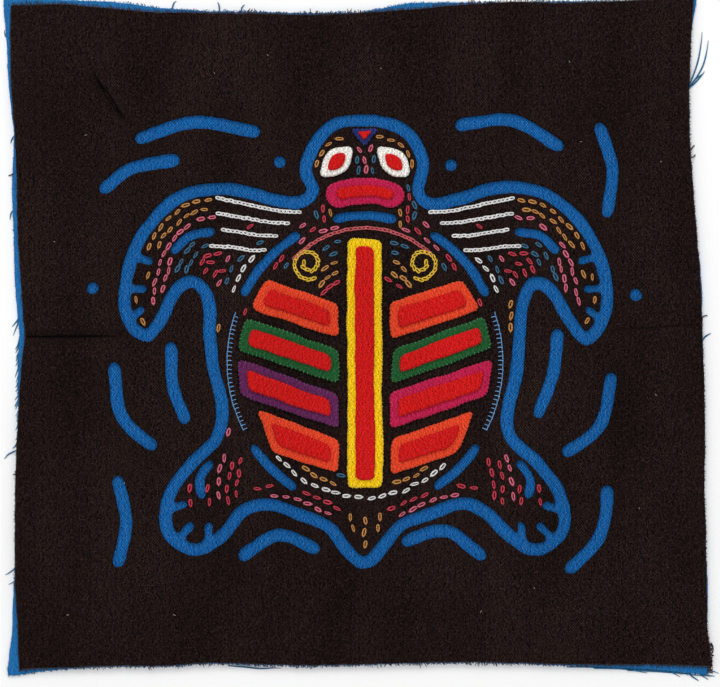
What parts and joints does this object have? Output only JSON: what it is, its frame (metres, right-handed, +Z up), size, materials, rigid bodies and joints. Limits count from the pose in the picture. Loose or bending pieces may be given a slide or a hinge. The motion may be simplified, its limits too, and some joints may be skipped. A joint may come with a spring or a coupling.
{
  "type": "mola panel",
  "caption": "Flat panel of two layered cotton cloths with a turtle in cut channels, nested colour patches and loose yarn at its raw edges.",
  "frame": {"origin": "on the underside of the base cloth, under the middle of the panel", "axes": "+Z up out of the patched face, +Y towards the top edge, +X to the viewer's right"},
  "size_m": [0.2157, 0.2034, 0.0049],
  "materials": {
    "blue_cotton": "plain-weave cotton, matte",
    "black_cotton": "plain-weave cotton, matte",
    "red_cotton": "plain-weave cotton, matte",
    "orange_cotton": "plain-weave cotton, matte",
    "green_cotton": "plain-weave cotton, matte",
    "purple_cotton": "plain-weave cotton, matte",
    "magenta_cotton": "plain-weave cotton, matte",
    "yellow_cotton": "plain-weave cotton, matte",
    "navy_cotton": "plain-weave cotton, matte",
    "white_cotton": "plain-weave cotton, matte"
  },
  "bodies": {
    "root": {"base_cloth": "blue_cotton", "ground_cloth": "black_cotton", "figure_cloth": "black_cotton", "spine_frame": "yellow_cotton", "spine_centre": "red_cotton", "rib_1_left_frame": "orange_cotton", "rib_1_right_frame": "orange_cotton", "rib_2_left_frame": "purple_cotton", "rib_2_right_frame": "magenta_cotton", "rib_3_left_frame": "green_cotton", "rib_3_right_frame": "green_cotton", "rib_4_left_frame": "orange_cotton", "rib_4_right_frame": "orange_cotton", "eye_left_white": "white_cotton", "eye_right_white": "white_cotton", "eye_left_red": "red_cotton", "eye_right_red": "red_cotton", "nose_navy": "navy_cotton", "nose_red": "red_cotton", "collar_magenta": "magenta_cotton", "collar_red": "red_cotton", "fray_left": "blue_cotton", "fray_right": "blue_cotton", "fray_top": "blue_cotton", "fray_bottom": "blue_cotton", "rib_1_left_centre": "red_cotton", "rib_1_right_centre": "red_cotton", "rib_2_left_centre": "red_cotton", "rib_2_right_centre": "red_cotton", "rib_3_left_centre": "red_cotton", "rib_3_right_centre": "red_cotton", "rib_4_left_centre": "red_cotton", "rib_4_right_centre": "red_cotton"}
  },
  "joints": []
}
